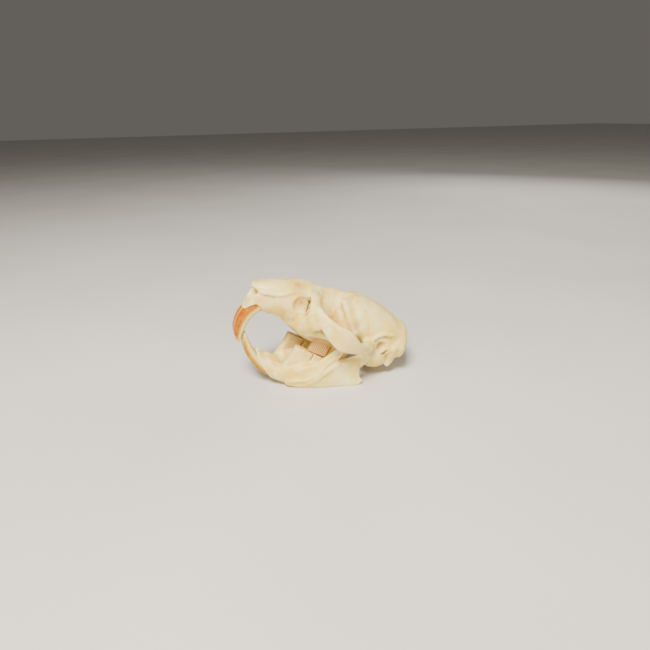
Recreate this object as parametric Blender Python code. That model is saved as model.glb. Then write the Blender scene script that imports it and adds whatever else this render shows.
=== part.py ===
"""Muskrat skull, life size, resting on its lower jaw as on a museum table.

The snout points to -X, the animal's left side to -Y, and the table is z = 0. Every bone is lofted from
stations: a few named sections along a smooth path. The upper skull is modelled level, in its own frame, and
an empty tips it nose up onto the lower teeth. All the sizes below are millimetres, which MM turns to metres.
"""

import math

import bmesh
import bpy
import numpy as np
from mathutils import Matrix, Vector

MM = 0.001
GAP = 0.3  # clearance that neighbouring bones keep

# Pose: the upper skull's frame has its origin at the front of the cheek teeth.
SKULL_TILT = 20.0  # nose-up tilt of the upper skull, degrees
JAW_AT = (-8.28, 0.0, 0.0)
SKULL_AT = (-11.28, 0.0, 17.5)

# Fineness of the fused bone, which only sets how many triangles it takes.
BONE_VOXEL = 0.4
BONE_SMOOTHING = 4
SKULL_TRIANGLES = 5200
JAW_TRIANGLES = 1200

UP = (0.0, 0.0, 1.0)
FORWARD = (-1.0, 0.0, 0.0)

# Section shapes, as powers of a superellipse: 2 is an ellipse, and more is squarer.
ROUND = 2.0
FULL = 2.2
BOXY = 2.5
SQUARE = 3.0

BLUNT = 0.5  # how far a blunt end stands out, as a share of its smaller half size

# Each station is x, y, z, half width, half depth. Bodies on the midline have y = 0, and a paired piece is
# listed on the animal's left side, at negative y.
SNOUT = (
    (-16.9, 0, 7.2, 3.6, 2.9),
    (-15.3, 0, 9.4, 4.6, 5.0),
    (-11.0, 0, 11.4, 5.5, 5.8),
    (-6.5, 0, 11.7, 6.1, 6.6),
    (-3.8, 0, 11.6, 6.4, 7.1),
    (-0.6, 0, 11.2, 5.3, 7.8),
    (4.0, 0, 10.6, 4.4, 8.2),
)
NASALS = (
    (-18.0, 0, 14.2, 3.0, 0.9),
    (-14.2, 0, 14.6, 4.4, 2.0),
    (-8.0, 0, 15.8, 4.6, 2.2),
    (-2.0, 0, 17.1, 4.4, 2.2),
)
ORBIT_WALL = (
    (-3.0, 0, 12.0, 6.6, 7.4),
    (1.0, 0, 12.2, 5.8, 7.4),
    (5.0, 0, 12.2, 3.3, 6.7),
    (9.5, 0, 12.0, 2.9, 6.8),
    (13.5, 0, 11.8, 4.4, 7.0),
    (18.0, 0, 11.6, 8.0, 7.2),
)
BRAINCASE = (
    (13.5, 0, 12.2, 7.4, 6.4),
    (16.5, 0, 11.7, 10.2, 7.4),
    (21.0, 0, 11.4, 11.6, 8.0),
    (27.0, 0, 10.8, 12.2, 7.6),
    (32.5, 0, 9.5, 12.6, 6.9),
    (36.4, 0, 8.4, 12.2, 6.1),
    (39.4, 0, 7.4, 9.8, 5.0),
)
PALATE = (
    (-4.0, 0, 5.6, 4.0, 1.8),
    (0.0, 0, 4.6, 5.6, 3.2),
    (4.0, 0, 3.8, 7.6, 3.8),
    (10.0, 0, 3.2, 8.2, 4.2),
    (16.0, 0, 2.6, 8.0, 4.4),
    (21.0, 0, 2.4, 6.4, 3.6),
)
SKULL_BASE = (
    (18.0, 0, 5.0, 6.0, 4.0),
    (26.0, 0, 4.0, 6.0, 4.0),
    (34.0, 0, 3.6, 6.6, 3.8),
    (39.4, 0, 4.0, 5.4, 3.2),
)
BACK_OF_SKULL = (
    (37.4, -12.2, 5.0, 1.9, 3.2),
    (38.4, -9.0, 7.0, 2.1, 5.2),
    (39.3, -4.0, 8.4, 2.2, 5.6),
    (39.6, 0, 8.8, 2.3, 5.4),
    (39.3, 4.0, 8.4, 2.2, 5.6),
    (38.4, 9.0, 7.0, 2.1, 5.2),
    (37.4, 12.2, 5.0, 1.9, 3.2),
)
MAXILLA = ((3.0, -6.3, 5.4, 1.9, 2.2), (8.0, -6.8, 4.3, 2.1, 2.4), (14.0, -7.2, 3.2, 1.8, 2.2))
CHEEK_PLATE = (
    (0.4, -4.5, 5.2, 2.4, 2.6),
    (0.6, -7.5, 6.0, 1.9, 2.9),
    (1.0, -10.4, 7.8, 1.7, 3.0),
    (2.0, -13.4, 9.8, 1.6, 3.0),
    (3.4, -16.0, 11.4, 1.3, 2.6),
)
CHEEK_WALL = (
    (-0.6, -10.9, 8.4, 1.2, 0.9),
    (-0.1, -12.6, 11.0, 1.3, 0.9),
    (0.4, -13.0, 13.2, 1.5, 0.9),
    (0.9, -11.8, 15.2, 1.6, 1.0),
)
CHEEK_ROOT = (
    (1.8, -4.0, 16.6, 2.2, 1.4),
    (1.6, -8.0, 16.3, 1.9, 1.4),
    (1.3, -10.8, 15.3, 1.7, 1.3),
    (1.5, -13.2, 13.9, 1.6, 1.4),
    (2.6, -15.6, 12.5, 1.7, 1.3),
)
CHEEK_ARCH = (
    (1.6, -14.3, 13.8, 1.3, 1.7),
    (4.2, -17.2, 11.5, 1.2, 2.2),
    (7.7, -19.0, 9.2, 1.1, 3.1),
    (11.7, -19.8, 7.6, 1.05, 3.9),
    (15.6, -19.6, 6.9, 1.05, 3.5),
    (19.4, -18.2, 5.7, 1.1, 2.3),
    (22.8, -15.4, 5.1, 1.3, 1.8),
    (25.6, -12.0, 5.8, 1.5, 1.7),
    (28.0, -9.0, 6.6, 1.5, 1.5),
)
JAW_SOCKET_ROOT = ((26.8, -9.2, 6.8, 2.8, 2.0), (25.0, -11.9, 5.6, 2.2, 1.5), (22.8, -15.2, 5.0, 1.8, 1.2))
ORBIT_CREST = (
    (13.6, -6.2, 17.0, 1.6, 1.1),
    (14.9, -8.2, 14.6, 1.8, 1.2),
    (16.4, -9.6, 11.6, 1.8, 1.1),
    (18.8, -10.8, 8.4, 1.6, 0.9),
)
NECK_CREST = (
    (34.8, -12.8, 5.6, 1.1, 1.3),
    (36.2, -11.9, 9.2, 1.0, 1.0),
    (37.6, -8.0, 12.3, 0.9, 0.9),
    (38.2, 0, 13.6, 0.9, 0.9),
    (37.6, 8.0, 12.3, 0.9, 0.9),
    (36.2, 11.9, 9.2, 1.0, 1.0),
    (34.8, 12.8, 5.6, 1.1, 1.3),
)
NECK_SPUR = (
    (36.2, -10.4, 5.0, 1.9, 2.4),
    (35.9, -10.9, 1.8, 1.2, 2.0),
    (35.2, -11.1, -1.0, 0.8, 1.1),
)
WING_BONE = (
    (19.5, -3.6, 1.2, 0.9, 2.6),
    (23.0, -3.8, 0.4, 0.7, 2.6),
    (26.5, -4.6, 0.0, 0.6, 2.0),
)
MIDLINE_RIDGE = (
    (3.0, 0, 17.6, 1.6, 1.1),
    (8.0, 0, 18.1, 1.1, 1.0),
    (15.0, 0, 17.8, 1.4, 1.1),
)
EAR_BULB = {"at": (29.4, -8.4, 1.2), "radii": (6.3, 4.9, 5.2)}
EAR_TUBE = ((29.8, -8.6, 4.4, 3.2, 3.2), (29.9, -12.2, 5.0, 2.9, 2.9))
EAR_HOLE = ((30.1, -15.4, 5.4, 1.6, 1.7), (29.8, -11.8, 5.0, 1.2, 1.3))
NECK_KNOB = {"at": (40.3, -3.8, 3.0), "radii": (2.2, 2.1, 2.9)}

# Hollows that are cut from the upper skull.
NOSTRIL = ((-21.0, 0, 11.0, 3.0, 2.1), (-16.0, 0, 11.4, 2.8, 2.1), (-12.0, 0, 11.8, 2.0, 1.5))
CHEEK_WINDOW = (
    (-5.4, -10.6, 12.7, 1.6, 2.4),
    (-3.4, -8.9, 12.7, 2.8, 3.3),
    (0.0, -7.9, 12.7, 3.0, 3.5),
    (3.0, -7.8, 12.5, 2.6, 3.1),
    (7.0, -8.2, 12.4, 2.2, 2.8),
)
SPINE_HOLE = ((46.0, 0, 6.6, 3.2, 2.7), (38.2, 0, 6.2, 2.8, 2.3))
PALATE_TROUGH = ((3.0, 0, -1.6, 2.9, 2.4), (12.0, 0, -2.4, 3.2, 3.0), (24.0, 0, -2.2, 3.0, 3.0))
PALATE_SLIT = ((-11.0, -1.2, 5.4, 0.6, 1.6), (-3.0, -1.2, 3.4, 0.6, 1.6))

# Lower jaw, left half, in the table's frame.
JAW_BODY = (
    (-16.1, -2.0, 11.4, 1.4, 0.9),
    (-15.1, -2.2, 9.2, 2.0, 1.8),
    (-13.6, -2.5, 7.1, 2.6, 3.1),
    (-11.2, -3.2, 5.5, 3.1, 3.0),
    (-8.6, -4.4, 4.5, 3.2, 3.1),
    (-5.2, -5.8, 4.6, 3.5, 4.3),
    (-0.5, -7.2, 4.6, 3.8, 4.6),
    (5.5, -8.8, 4.2, 3.2, 4.2),
    (11.0, -10.7, 3.6, 1.8, 3.2),
    (15.0, -12.2, 5.4, 1.2, 2.9),
)
JAW_SHEATH = ((-7.7, -5.4, 6.4, 1.8, 1.3), (-6.1, -6.0, 9.0, 1.7, 1.1), (-4.8, -6.3, 11.2, 1.5, 0.8))
JAW_ANGLE = (
    (-6.8, -8.0, 2.0, 1.2, 1.3),
    (-3.0, -9.8, 2.3, 1.1, 2.3),
    (1.5, -11.6, 3.2, 1.0, 3.2),
    (8.0, -13.0, 4.2, 0.8, 4.3),
    (13.5, -13.8, 4.7, 0.7, 4.9),
    (17.2, -14.2, 5.0, 0.65, 4.6),
)
JAW_HOOK = ((14.0, -14.0, 1.5, 0.8, 1.9), (17.0, -14.4, 1.1, 0.7, 1.5), (18.2, -14.6, 1.2, 0.6, 1.0))
JAW_HINGE = (
    (8.0, -12.0, 7.0, 1.1, 2.8),
    (13.5, -12.8, 7.6, 1.0, 2.6),
    (17.6, -13.3, 8.6, 1.0, 2.6),
    (20.2, -13.6, 10.2, 1.2, 1.8),
    (21.2, -13.6, 11.2, 1.4, 1.0),
)
JAW_HORN = (
    (-1.5, -9.8, 6.4, 1.1, 1.6),
    (4.0, -11.1, 7.9, 1.1, 1.9),
    (8.6, -12.2, 11.0, 0.95, 1.9),
    (11.4, -13.0, 14.2, 0.8, 1.4),
    (13.2, -13.5, 17.0, 0.7, 1.0),
    (15.0, -13.8, 18.6, 0.6, 0.7),
)
JAW_RIDGE = (
    (-3.0, -9.6, 1.8, 1.0, 1.1),
    (0.8, -11.6, 2.9, 1.1, 1.0),
    (5.7, -12.9, 6.2, 1.1, 1.0),
    (10.0, -13.3, 9.0, 1.0, 0.9),
)

# Incisors: the path runs down the middle of the tooth, the root first.
UPPER_INCISOR = (
    (-15.9, -2.2, 7.4, 1.8, 1.9),
    (-18.0, -2.15, 4.6, 1.8, 2.0),
    (-19.2, -2.1, 0.8, 1.75, 1.95),
    (-19.3, -2.0, -3.0, 1.6, 1.5),
    (-18.6, -1.9, -6.4, 1.3, 0.5),
)
LOWER_INCISOR = (
    (-14.6, -2.3, 6.4, 1.5, 1.7),
    (-17.0, -2.1, 9.6, 1.5, 1.6),
    (-19.0, -1.8, 13.4, 1.45, 1.5),
    (-19.9, -1.6, 17.2, 1.3, 1.2),
    (-20.1, -1.5, 20.4, 1.1, 0.45),
)

TOOTH_LOFT = {"up": FORWARD, "power": BOXY, "rings": 10, "sides": 12}

# Cheek teeth: prisms in a zigzag, all as tall as the row and square to its biting plane.
TOOTH_LEAN = 30.0  # the biting plane falls this many degrees to the rear
TEETH = ((-0.7, 7.2, 5), (6.7, 3.6, 3), (10.5, 3.0, 2))  # start, length and folds of the three teeth
ROW_HALF_WIDTH = 1.6
LOWER_ROW = {"at": (-2.6, -6.2, 14.7), "splay": 6.0, "tall": 7.5}
UPPER_ROW = {"at": (1.7, -6.4, 12.7), "splay": 4.0, "tall": 6.0}
VALLEY = 0.45  # how near the middle each fold of a tooth cuts, as a share of its half width

# The corners of one fold on the cheek side and on the tongue side: how far along the fold's pitch each
# stands, and how far out from the row's middle, as a share of the half width.
CHEEK_FOLD = ((0.15, 0.9), (0.6, 1.0), (0.95, VALLEY))
TONGUE_FOLD = ((0.4, VALLEY), (0.8, 1.0), (1.2, 0.9))
TOOTH_FRONT = 0.4  # half width of a tooth's front edge, as the same share
TOOTH_BACK = 0.7

# Where the upper skull is parted: two corners of each bone's box, and its lean about Y in degrees. The
# cranium is what no box takes.
REGIONS = {
    "rostrum": ((-60.0, -30.0, -60.0), (-4.6, 30.0, 60.0), 0.0),
    "occiput": ((34.0, -30.0, -60.0), (90.0, 30.0, 60.0), 15.0),
    "zygomatic_arch_left": ((-6.0, -30.0, -10.0), (30.0, -15.2, 30.0), 0.0),
    "zygomatic_arch_right": ((-6.0, 15.2, -10.0), (30.0, 30.0, 30.0), 0.0),
    "auditory_bulla_left": ((22.0, -14.6, -20.0), (33.6, -3.3, 8.0), 15.0),
    "auditory_bulla_right": ((22.0, 3.3, -20.0), (33.6, 14.6, 8.0), 15.0),
}

# Finishes, linear colour.
BONE_COLOUR = (0.80, 0.72, 0.58)
ORANGE = (0.85, 0.38, 0.06)
AMBER = (0.80, 0.50, 0.16)

ROUND_END = (30.0, 60.0, 80.0)  # where the rings of a rounded end stand, degrees round its dome


def smooth_rows(stations, rings):
    """Rows spaced evenly along a smooth curve through the stations, their sizes eased the same way."""
    rows = np.array(stations, float)
    at = np.concatenate([[0], np.cumsum(np.linalg.norm(np.diff(rows[:, :3], axis=0), axis=1))])
    slopes = np.gradient(rows, at, axis=0)
    wanted = np.linspace(0, at[-1], rings)
    i = np.clip(np.searchsorted(at, wanted, side="right") - 1, 0, len(at) - 2)
    span = (at[i + 1] - at[i])[:, None]
    u = (wanted - at[i])[:, None] / span
    eased = (1 + 2 * u) * (1 - u) ** 2 * rows[i] + u * u * (3 - 2 * u) * rows[i + 1]
    return eased + span * (u * (1 - u) ** 2 * slopes[i] + u * u * (u - 1) * slopes[i + 1])


def rounded_ends(rows, bulge):
    """The rows with a few shrinking ones past each end, which turn flat ends into domes. Bulge is how far a
    dome stands out, as a share of the end's smaller half size."""
    first, last = [], []
    for angle in ROUND_END:
        out, scale = math.sin(math.radians(angle)), math.cos(math.radians(angle))
        for end, step, more in ((rows[0], rows[0] - rows[1], first), (rows[-1], rows[-1] - rows[-2], last)):
            reach = bulge * out * min(end[3], end[4]) / np.linalg.norm(step[:3])
            more.append(np.concatenate([end[:3] + reach * step[:3], end[3:5] * scale]))
    return np.vstack([first[::-1], rows, last])


def loft(stations, rings=14, sides=16, power=ROUND, up=UP, bulge=1.0, ease=0.0):
    """A closed body through the stations. Each section is a superellipse square to the path, its half depth
    along up and its half width across it, and power sets how square it is. Ease widens it all round."""
    rows = smooth_rows(stations, rings)
    rows[:, 3:5] += ease
    rows = rounded_ends(rows, bulge)
    outline = []
    for k in range(sides):
        turn = 2 * math.pi * k / sides
        wide, deep = math.cos(turn), math.sin(turn)
        outline.append((
            math.copysign(abs(wide) ** (2 / power), wide),
            math.copysign(abs(deep) ** (2 / power), deep),
        ))
    mesh = bmesh.new()
    loops = []
    for row, along in zip(rows, np.gradient(rows[:, :3], axis=0)):
        ahead = Vector(along).normalized()
        side = ahead.cross(Vector(up)).normalized()
        tall = side.cross(ahead)
        centre = Vector(row[:3])
        loops.append([mesh.verts.new(centre + side * (w * row[3]) + tall * (d * row[4])) for w, d in outline])
    for low, high in zip(loops, loops[1:]):
        for k in range(sides):
            mesh.faces.new((low[k - 1], low[k], high[k], high[k - 1]))
    mesh.faces.new(loops[0])
    mesh.faces.new(reversed(loops[-1]))
    return finished(mesh)


def ball(shape):
    """An ellipsoid from its centre and three half axes."""
    mesh = bmesh.new()
    bmesh.ops.create_icosphere(mesh, subdivisions=3, radius=1.0)
    mesh.transform(Matrix.Translation(shape["at"]) @ Matrix.Diagonal((*shape["radii"], 1.0)))
    return finished(mesh)


def finished(mesh):
    """The bmesh, drawn in millimetres, as an object in metres."""
    mesh.transform(Matrix.Scale(MM, 4))
    bmesh.ops.recalc_face_normals(mesh, faces=mesh.faces)
    data = bpy.data.meshes.new("piece")
    mesh.to_mesh(data)
    mesh.free()
    return new_object("piece", data)


def new_object(name, data):
    """An object of the scene that holds this mesh."""
    thing = bpy.data.objects.new(name, data)
    bpy.context.scene.collection.objects.link(thing)
    return thing


def mirrored(piece, name="piece"):
    """The piece's mirror image on the animal's other side, its faces still pointing out."""
    data = piece.data.copy()
    data.transform(Matrix.Scale(-1, 4, (0, 1, 0)))
    data.flip_normals()
    return new_object(name, data)


def pair(piece):
    """The piece and its mirror image."""
    return [piece, mirrored(piece)]


def applied(piece):
    """The piece with its modifiers turned into plain mesh."""
    bpy.context.view_layer.update()
    graph = bpy.context.evaluated_depsgraph_get()
    data = bpy.data.meshes.new_from_object(piece.evaluated_get(graph))
    piece.modifiers.clear()
    piece.data = data
    return piece


def combined(piece, others, operation):
    """One Boolean of the piece with a whole collection of others, which are then removed."""
    group = bpy.data.collections.new("group")
    for other in others:
        group.objects.link(other)
    boolean = piece.modifiers.new("join", "BOOLEAN")
    boolean.operation = operation
    boolean.solver = "EXACT"
    boolean.operand_type = "COLLECTION"
    boolean.collection = group
    applied(piece)
    for other in others:
        bpy.data.objects.remove(other)
    bpy.data.collections.remove(group)
    return piece


def softened(piece, triangles):
    """The fused bone with its creases melted: an even skin, smoothed a little, then thinned out."""
    skin = piece.modifiers.new("skin", "REMESH")
    skin.mode = "VOXEL"
    skin.voxel_size = BONE_VOXEL * MM
    melt = piece.modifiers.new("melt", "SMOOTH")
    melt.factor = 0.5
    melt.iterations = BONE_SMOOTHING
    applied(piece)
    piece.data.calc_loop_triangles()
    thin = piece.modifiers.new("thin", "DECIMATE")
    thin.ratio = triangles / len(piece.data.loop_triangles)
    return applied(piece)


def largest_shell(piece):
    """The piece with only its largest closed surface kept."""
    mesh = bmesh.new()
    mesh.from_mesh(piece.data)
    left, shells = set(mesh.faces), []
    while left:
        shell, waiting = set(), [left.pop()]
        while waiting:
            face = waiting.pop()
            shell.add(face)
            for edge in face.edges:
                for near in edge.link_faces:
                    if near in left:
                        left.remove(near)
                        waiting.append(near)
        shells.append(shell)
    largest = max(shells, key=lambda shell: sum(face.calc_area() for face in shell))
    scraps = [face for shell in shells if shell is not largest for face in shell]
    bmesh.ops.delete(mesh, geom=scraps, context="FACES")
    mesh.to_mesh(piece.data)
    mesh.free()
    return piece


def region(name, grow):
    """The box that holds one bone of the upper skull, made larger all round by grow."""
    low, high, lean = REGIONS[name]
    mesh = bmesh.new()
    bmesh.ops.create_cube(mesh, size=1.0)
    size = [b - a + 2 * grow for a, b in zip(low, high)]
    middle = [(a + b) / 2 for a, b in zip(low, high)]
    turn = Matrix.Rotation(math.radians(lean), 4, "Y")
    mesh.transform(turn @ Matrix.Translation(middle) @ Matrix.Diagonal((*size, 1.0)))
    return finished(mesh)


def fold_outline(start, length, folds):
    """A cheek tooth from above: cheek-side and tongue-side corners that alternate down its length."""
    pitch = length / (folds + 0.5)
    cheek, tongue = [], []
    for k in range(folds):
        at = start + k * pitch
        cheek += [(at + along * pitch, -out * ROW_HALF_WIDTH) for along, out in CHEEK_FOLD]
        tongue += [(at + along * pitch, out * ROW_HALF_WIDTH) for along, out in TONGUE_FOLD]
    end, back = start + length, TOOTH_BACK * ROW_HALF_WIDTH
    front = (start, TOOTH_FRONT * ROW_HALF_WIDTH)
    return cheek + [(end, -back), (end, back)] + tongue[::-1] + [front]


def tooth_row(row, direction, frame):
    """The three teeth of a row as prisms that stand from the biting plane: up is +1 and down is -1."""
    lean, splay = math.radians(TOOTH_LEAN), math.radians(row["splay"])
    along = Vector((math.cos(lean) * math.cos(splay), -math.sin(splay), -math.sin(lean) * math.cos(splay)))
    across = Vector((math.sin(lean), 0, math.cos(lean))).cross(along).normalized()
    crown = along.cross(across)
    teeth = []
    for start, length, folds in TEETH:
        outline = fold_outline(start, length, folds)
        mesh = bmesh.new()
        foot, top = (
            [mesh.verts.new(Vector(row["at"]) + along * r + across * y + crown * height) for r, y in outline]
            for height in (0.0, direction * row["tall"])
        )
        mesh.faces.new(foot)
        mesh.faces.new(reversed(top))
        for k in range(len(outline)):
            mesh.faces.new((foot[k - 1], top[k - 1], top[k], foot[k]))
        mesh.transform(frame)
        teeth.append(finished(mesh))
    return teeth


def material(name, colour, roughness):
    """A plain finish: colour in linear light, and how matt it is."""
    finish = bpy.data.materials.new(name)
    finish.use_nodes = True
    shader = finish.node_tree.nodes["Principled BSDF"]
    shader.inputs["Base Color"].default_value = (*colour, 1.0)
    shader.inputs["Roughness"].default_value = roughness
    shader.inputs["Metallic"].default_value = 0.0
    return finish


def named(piece, name, finish, pose):
    """Makes the piece a node: its name, its finish and the empty that poses it."""
    piece.name = name
    piece.data.name = name
    piece.data.materials.clear()
    piece.data.materials.append(finish)
    piece.data.shade_smooth()
    piece.data.set_sharp_from_angle(angle=math.radians(40))
    piece.parent = pose
    return piece


def pose_empty(name, at, tilt=0.0):
    """The empty that carries one jaw's bones."""
    empty = bpy.data.objects.new(name, None)
    bpy.context.scene.collection.objects.link(empty)
    empty.location = Vector(at) * MM
    empty.rotation_euler = (0, math.radians(tilt), 0)
    return empty


def upper_bone():
    """The upper skull's bone in one, with its hollows and sockets, before it is parted."""
    bone = loft(SNOUT, power=BOXY, sides=20, bulge=BLUNT)
    pieces = [
        loft(NASALS, power=FULL),
        loft(ORBIT_WALL, power=BOXY, sides=20),
        loft(BRAINCASE, power=BOXY, sides=28, bulge=BLUNT),
        loft(PALATE, power=SQUARE),
        loft(SKULL_BASE, power=SQUARE, bulge=BLUNT),
        loft(BACK_OF_SKULL, power=BOXY, bulge=BLUNT),
        loft(NECK_CREST, rings=24, sides=10),
        loft(MIDLINE_RIDGE, sides=10),
    ]
    for stations in (MAXILLA, CHEEK_PLATE, CHEEK_WALL, CHEEK_ROOT, JAW_SOCKET_ROOT, ORBIT_CREST):
        pieces += pair(loft(stations))
    pieces += pair(loft(CHEEK_ARCH, rings=22))
    pieces += pair(loft(NECK_SPUR)) + pair(loft(WING_BONE)) + pair(loft(EAR_TUBE, rings=5, bulge=BLUNT))
    pieces += pair(ball(EAR_BULB)) + pair(ball(NECK_KNOB))
    bone = softened(combined(bone, pieces, "UNION"), SKULL_TRIANGLES)
    hollows = [loft(NOSTRIL, rings=8), loft(SPINE_HOLE, rings=5), loft(PALATE_TROUGH, rings=6, sides=12)]
    hollows += pair(loft(CHEEK_WINDOW, rings=8)) + pair(loft(EAR_HOLE, rings=4, sides=12))
    hollows += pair(loft(PALATE_SLIT, rings=4, sides=8))
    hollows += pair(loft(UPPER_INCISOR, ease=GAP, **TOOTH_LOFT))
    return combined(bone, hollows, "DIFFERENCE")


def upper_skull(pose, bone_finish, enamel):
    """Parts the upper bone at the regions' faces, and adds the teeth."""
    whole = upper_bone()
    for name in REGIONS:
        piece = new_object(name, whole.data.copy())
        combined(piece, [region(name, -GAP / 2)], "INTERSECT")
        named(largest_shell(piece), name, bone_finish, pose)
    cranium = largest_shell(combined(whole, [region(name, GAP / 2) for name in REGIONS], "DIFFERENCE"))
    table_to_skull = Matrix.Rotation(math.radians(-SKULL_TILT), 4, "Y") @ Matrix.Translation(
        Vector(JAW_AT) - Vector(SKULL_AT)
    )
    teeth = [twin for tooth in tooth_row(UPPER_ROW, 1, table_to_skull) for twin in pair(tooth)]
    named(largest_shell(combined(cranium, teeth, "UNION")), "cranium", bone_finish, pose)
    incisor = loft(UPPER_INCISOR, **TOOTH_LOFT)
    named(mirrored(incisor), "upper_incisor_right", enamel, pose)
    named(incisor, "upper_incisor_left", enamel, pose)


def lower_jaw(pose, bone_finish, enamel):
    """Both halves of the lower jaw, each with its cheek teeth, and the two lower incisors."""
    jaw = loft(JAW_BODY, power=FULL)
    pieces = [
        loft(JAW_SHEATH),
        loft(JAW_ANGLE, sides=12),
        loft(JAW_HOOK, sides=10, rings=6),
        loft(JAW_HINGE, sides=12),
        loft(JAW_HORN, sides=12),
        loft(JAW_RIDGE, sides=8),
    ]
    jaw = softened(combined(jaw, pieces, "UNION"), JAW_TRIANGLES)
    combined(jaw, tooth_row(LOWER_ROW, -1, Matrix.Identity(4)), "UNION")
    cutters = [
        block((-30, -GAP / 2, -30), (30, 30, 60)),
        block((-60, -40, -20), (60, 40, 0)),
        loft(LOWER_INCISOR, ease=GAP, **TOOTH_LOFT),
    ]
    jaw = largest_shell(combined(jaw, cutters, "DIFFERENCE"))
    named(mirrored(jaw), "mandible_right", bone_finish, pose)
    named(jaw, "mandible_left", bone_finish, pose)
    incisor = loft(LOWER_INCISOR, **TOOTH_LOFT)
    named(mirrored(incisor), "lower_incisor_right", enamel, pose)
    named(incisor, "lower_incisor_left", enamel, pose)


def block(low, high):
    """A box between two corners, for cutting."""
    mesh = bmesh.new()
    bmesh.ops.create_cube(mesh, size=1.0)
    size = [b - a for a, b in zip(low, high)]
    middle = [(a + b) / 2 for a, b in zip(low, high)]
    mesh.transform(Matrix.Translation(middle) @ Matrix.Diagonal((*size, 1.0)))
    return finished(mesh)


def main():
    """Clears the scene and builds the skull over its lower jaw."""
    for thing in list(bpy.data.objects):
        bpy.data.objects.remove(thing)
    bone_finish = material("bone", BONE_COLOUR, 0.55)
    upper_skull(pose_empty("upper_pose", SKULL_AT, SKULL_TILT), bone_finish, material("enamel", ORANGE, 0.35))
    lower_jaw(pose_empty("lower_pose", JAW_AT), bone_finish, material("lower_enamel", AMBER, 0.35))


main()
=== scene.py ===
"""The looks of a life-size muskrat skull: dry bone, orange and amber incisors, ridged cheek teeth.

The bones are modelled in a block of voxels. Each part of a bone is a limb, a tube of eased sections, that is
melted into the block as a distance field, and hollows are melted out of it. The surface is then read off as
one mesh. The skull's sizes are millimetres until a piece's mesh is made, which is in metres. The studio's are
metres, apart from the camera's place.
"""

from __future__ import annotations

import logging
import math
from dataclasses import dataclass, field
from enum import Enum

import bpy
import numpy as np
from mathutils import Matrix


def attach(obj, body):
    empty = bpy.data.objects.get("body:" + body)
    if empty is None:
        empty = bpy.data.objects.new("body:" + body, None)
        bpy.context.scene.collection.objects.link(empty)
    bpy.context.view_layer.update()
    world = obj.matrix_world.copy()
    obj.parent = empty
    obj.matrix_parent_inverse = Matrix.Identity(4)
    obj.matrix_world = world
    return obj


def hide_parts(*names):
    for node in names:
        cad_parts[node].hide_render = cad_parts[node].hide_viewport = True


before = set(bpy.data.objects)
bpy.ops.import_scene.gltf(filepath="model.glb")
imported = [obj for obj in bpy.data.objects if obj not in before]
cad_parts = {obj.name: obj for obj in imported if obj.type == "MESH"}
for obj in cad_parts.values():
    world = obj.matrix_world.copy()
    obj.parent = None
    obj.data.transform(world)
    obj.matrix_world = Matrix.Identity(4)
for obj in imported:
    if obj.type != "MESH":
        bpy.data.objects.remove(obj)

import openvdb
from mathutils import Matrix, Vector

log = logging.getLogger("muskrat_skull")
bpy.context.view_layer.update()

Array = np.ndarray
Rows = tuple[tuple[float, ...], ...]
Spots = tuple[tuple[float, ...], ...]
Socket = bpy.types.NodeSocket
Piece = bpy.types.Object

MM = 0.001
UP = (0.0, 0.0, 1.0)
FORWARD = (-1.0, 0.0, 0.0)
OUT = (0.0, -1.0, 0.0)
JAW_AT = (-8.28, 0.0, 0.0)
SKULL_AT = (-11.28, 0.0, 17.5)
SKULL_TILT = 20.0
BAND = 5  # how many voxels a distance field reaches to each side of its surface
RELAX_OUT, RELAX_BACK = 0.5, -0.52  # shares of the way to the neighbours' mean, out and a little further back
EDGE_REACH, HOLLOW_REACH = 0.9, 2.7  # half cubes that tell thin edges and small pits, and wide hollows, for painted highlight and painted shade
INCISOR_SQUARE = 2.6  # an incisor's section as a limb's power
SOCKET_ROOM = 0.15  # how much wider than its tooth an incisor's socket is, each way
TINTS = ("chalk_and_highlight", "straw", "rose", "honey_and_shade", "molar_wall_shade", "crevice_shade_and_seam")  # the bone's tints, in the order they are laid; some are tones, stains and seams, some painted highlight and painted shade
FOLD_POINTS = 14  # points along each ridge of a cheek tooth


class Slot(Enum):
    """The record's material slots."""

    BONE = "bone"
    UPPER = "upper_enamel"
    LOWER = "lower_enamel"


@dataclass
class Body:
    """A closed surface: its points, its four-sided faces and its three-sided faces."""

    points: Array
    quads: Array
    tris: Array

    def mirrored(self) -> Body:
        """The same surface on the animal's other side, faces turned to point out again."""
        return Body(self.points * (1, -1, 1), self.quads[:, ::-1], self.tris[:, ::-1])

    def pair(self) -> list[Body]:
        """This surface and its mirror image."""
        return [self, self.mirrored()]

    def faces(self) -> list[Array]:
        """All faces as one list, for a Blender mesh."""
        return list(self.quads) + list(self.tris)


def smooth_rows(stations: Rows, rings: int) -> Array:
    """Rows spaced evenly along a smooth curve through the stations.

    Each column is a cubic between neighbouring stations, whose slopes are the finite differences over the
    path's length.

    Args:
        stations: Rows of x, y, z, half width and half depth.
        rings: How many rows to return.

    Returns:
        An array of rings by five.
    """
    rows = np.array(stations, float)
    at = np.concatenate([[0], np.cumsum(np.linalg.norm(np.diff(rows[:, :3], axis=0), axis=1))])
    slopes = np.gradient(rows, at, axis=0)
    wanted = np.linspace(0, at[-1], rings)
    i = np.clip(np.searchsorted(at, wanted, side="right") - 1, 0, len(at) - 2)
    span = (at[i + 1] - at[i])[:, None]
    u = (wanted - at[i])[:, None] / span
    eased = (1 + 2 * u) * (1 - u) ** 2 * rows[i] + u * u * (3 - 2 * u) * rows[i + 1]
    return eased + span * (u * (1 - u) ** 2 * slopes[i] + u * u * (u - 1) * slopes[i + 1])


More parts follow.
